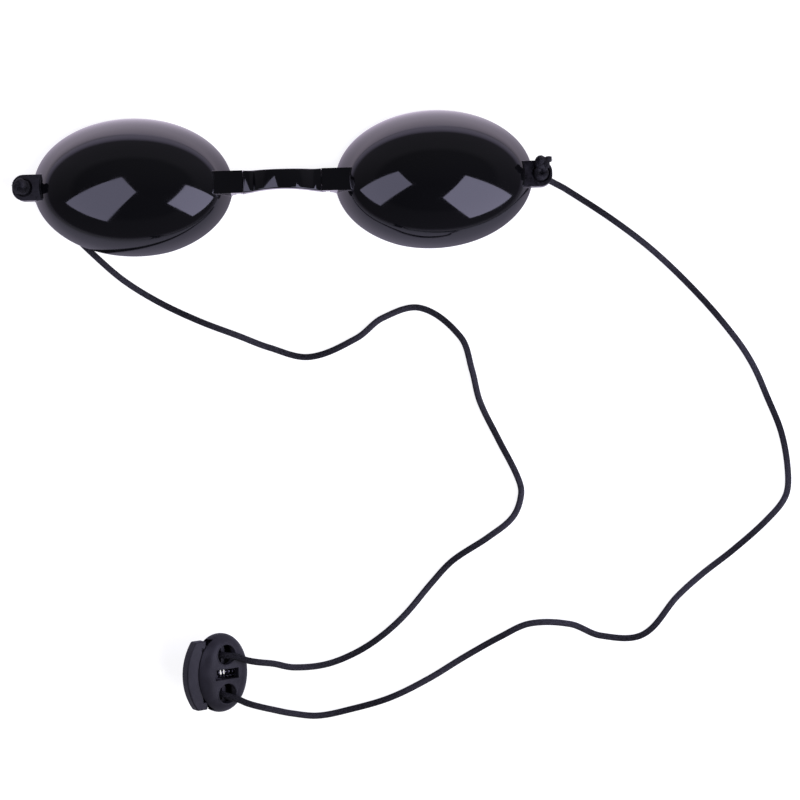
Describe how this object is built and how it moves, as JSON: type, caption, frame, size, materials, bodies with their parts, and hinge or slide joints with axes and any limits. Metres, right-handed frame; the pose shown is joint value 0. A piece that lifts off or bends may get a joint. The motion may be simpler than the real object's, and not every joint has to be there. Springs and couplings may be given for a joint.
{
  "type": "laser safety goggles",
  "caption": "Opaque eye shield goggles: domed cups on a hinged nose bridge, with an elastic head cord through a spring cord lock.",
  "frame": {"origin": "on the table under the middle of the goggles, between the two cups, cord and cord lock left out", "axes": "+X along the goggles towards the right-hand cup as the picture shows it, +Y towards the brow edge of the cups, +Z out of the dome side, away from the face"},
  "size_m": [0.2176, 0.1721, 0.0156],
  "materials": {
    "cup_plastic": "polished opaque black",
    "bridge_plastic": "polished opaque black",
    "cord": "braided black elastic",
    "lock_plastic": "satin moulded black",
    "spring_steel": "bright drawn wire"
  },
  "bodies": {
    "bridge": {"nose_bridge": "bridge_plastic", "cord_left": "cord", "cord_lock_loop": "cord", "cord_right": "cord", "lock_body": "lock_plastic", "lock_spring": "spring_steel"},
    "left_cup": {"left_cup": "cup_plastic", "left_knot": "cord", "cord_left_lug": "cord"},
    "right_cup": {"right_cup": "cup_plastic", "right_knot": "cord", "cord_right_lug": "cord"},
    "plunger": {"lock_plunger": "lock_plastic"}
  },
  "joints": [
    {"name": "left_hinge", "type": "hinge", "parent": "bridge", "child": "left_cup", "pos_m": [-0.0126, 0, 0.0051], "axis": [0, -1, 0], "range_deg": [0, 25]},
    {"name": "right_hinge", "type": "hinge", "parent": "bridge", "child": "right_cup", "pos_m": [0.0126, 0, 0.0051], "axis": [0, 1, 0], "range_deg": [0, 25]},
    {"name": "plunger_press", "type": "slide", "parent": "bridge", "child": "plunger", "axis": [0.7986, 0, -0.6018], "range_m": [0, 0.003], "stiffness_N_per_m": 600, "springref_m": -0.002, "deforming": ["lock_spring"]}
  ]
}
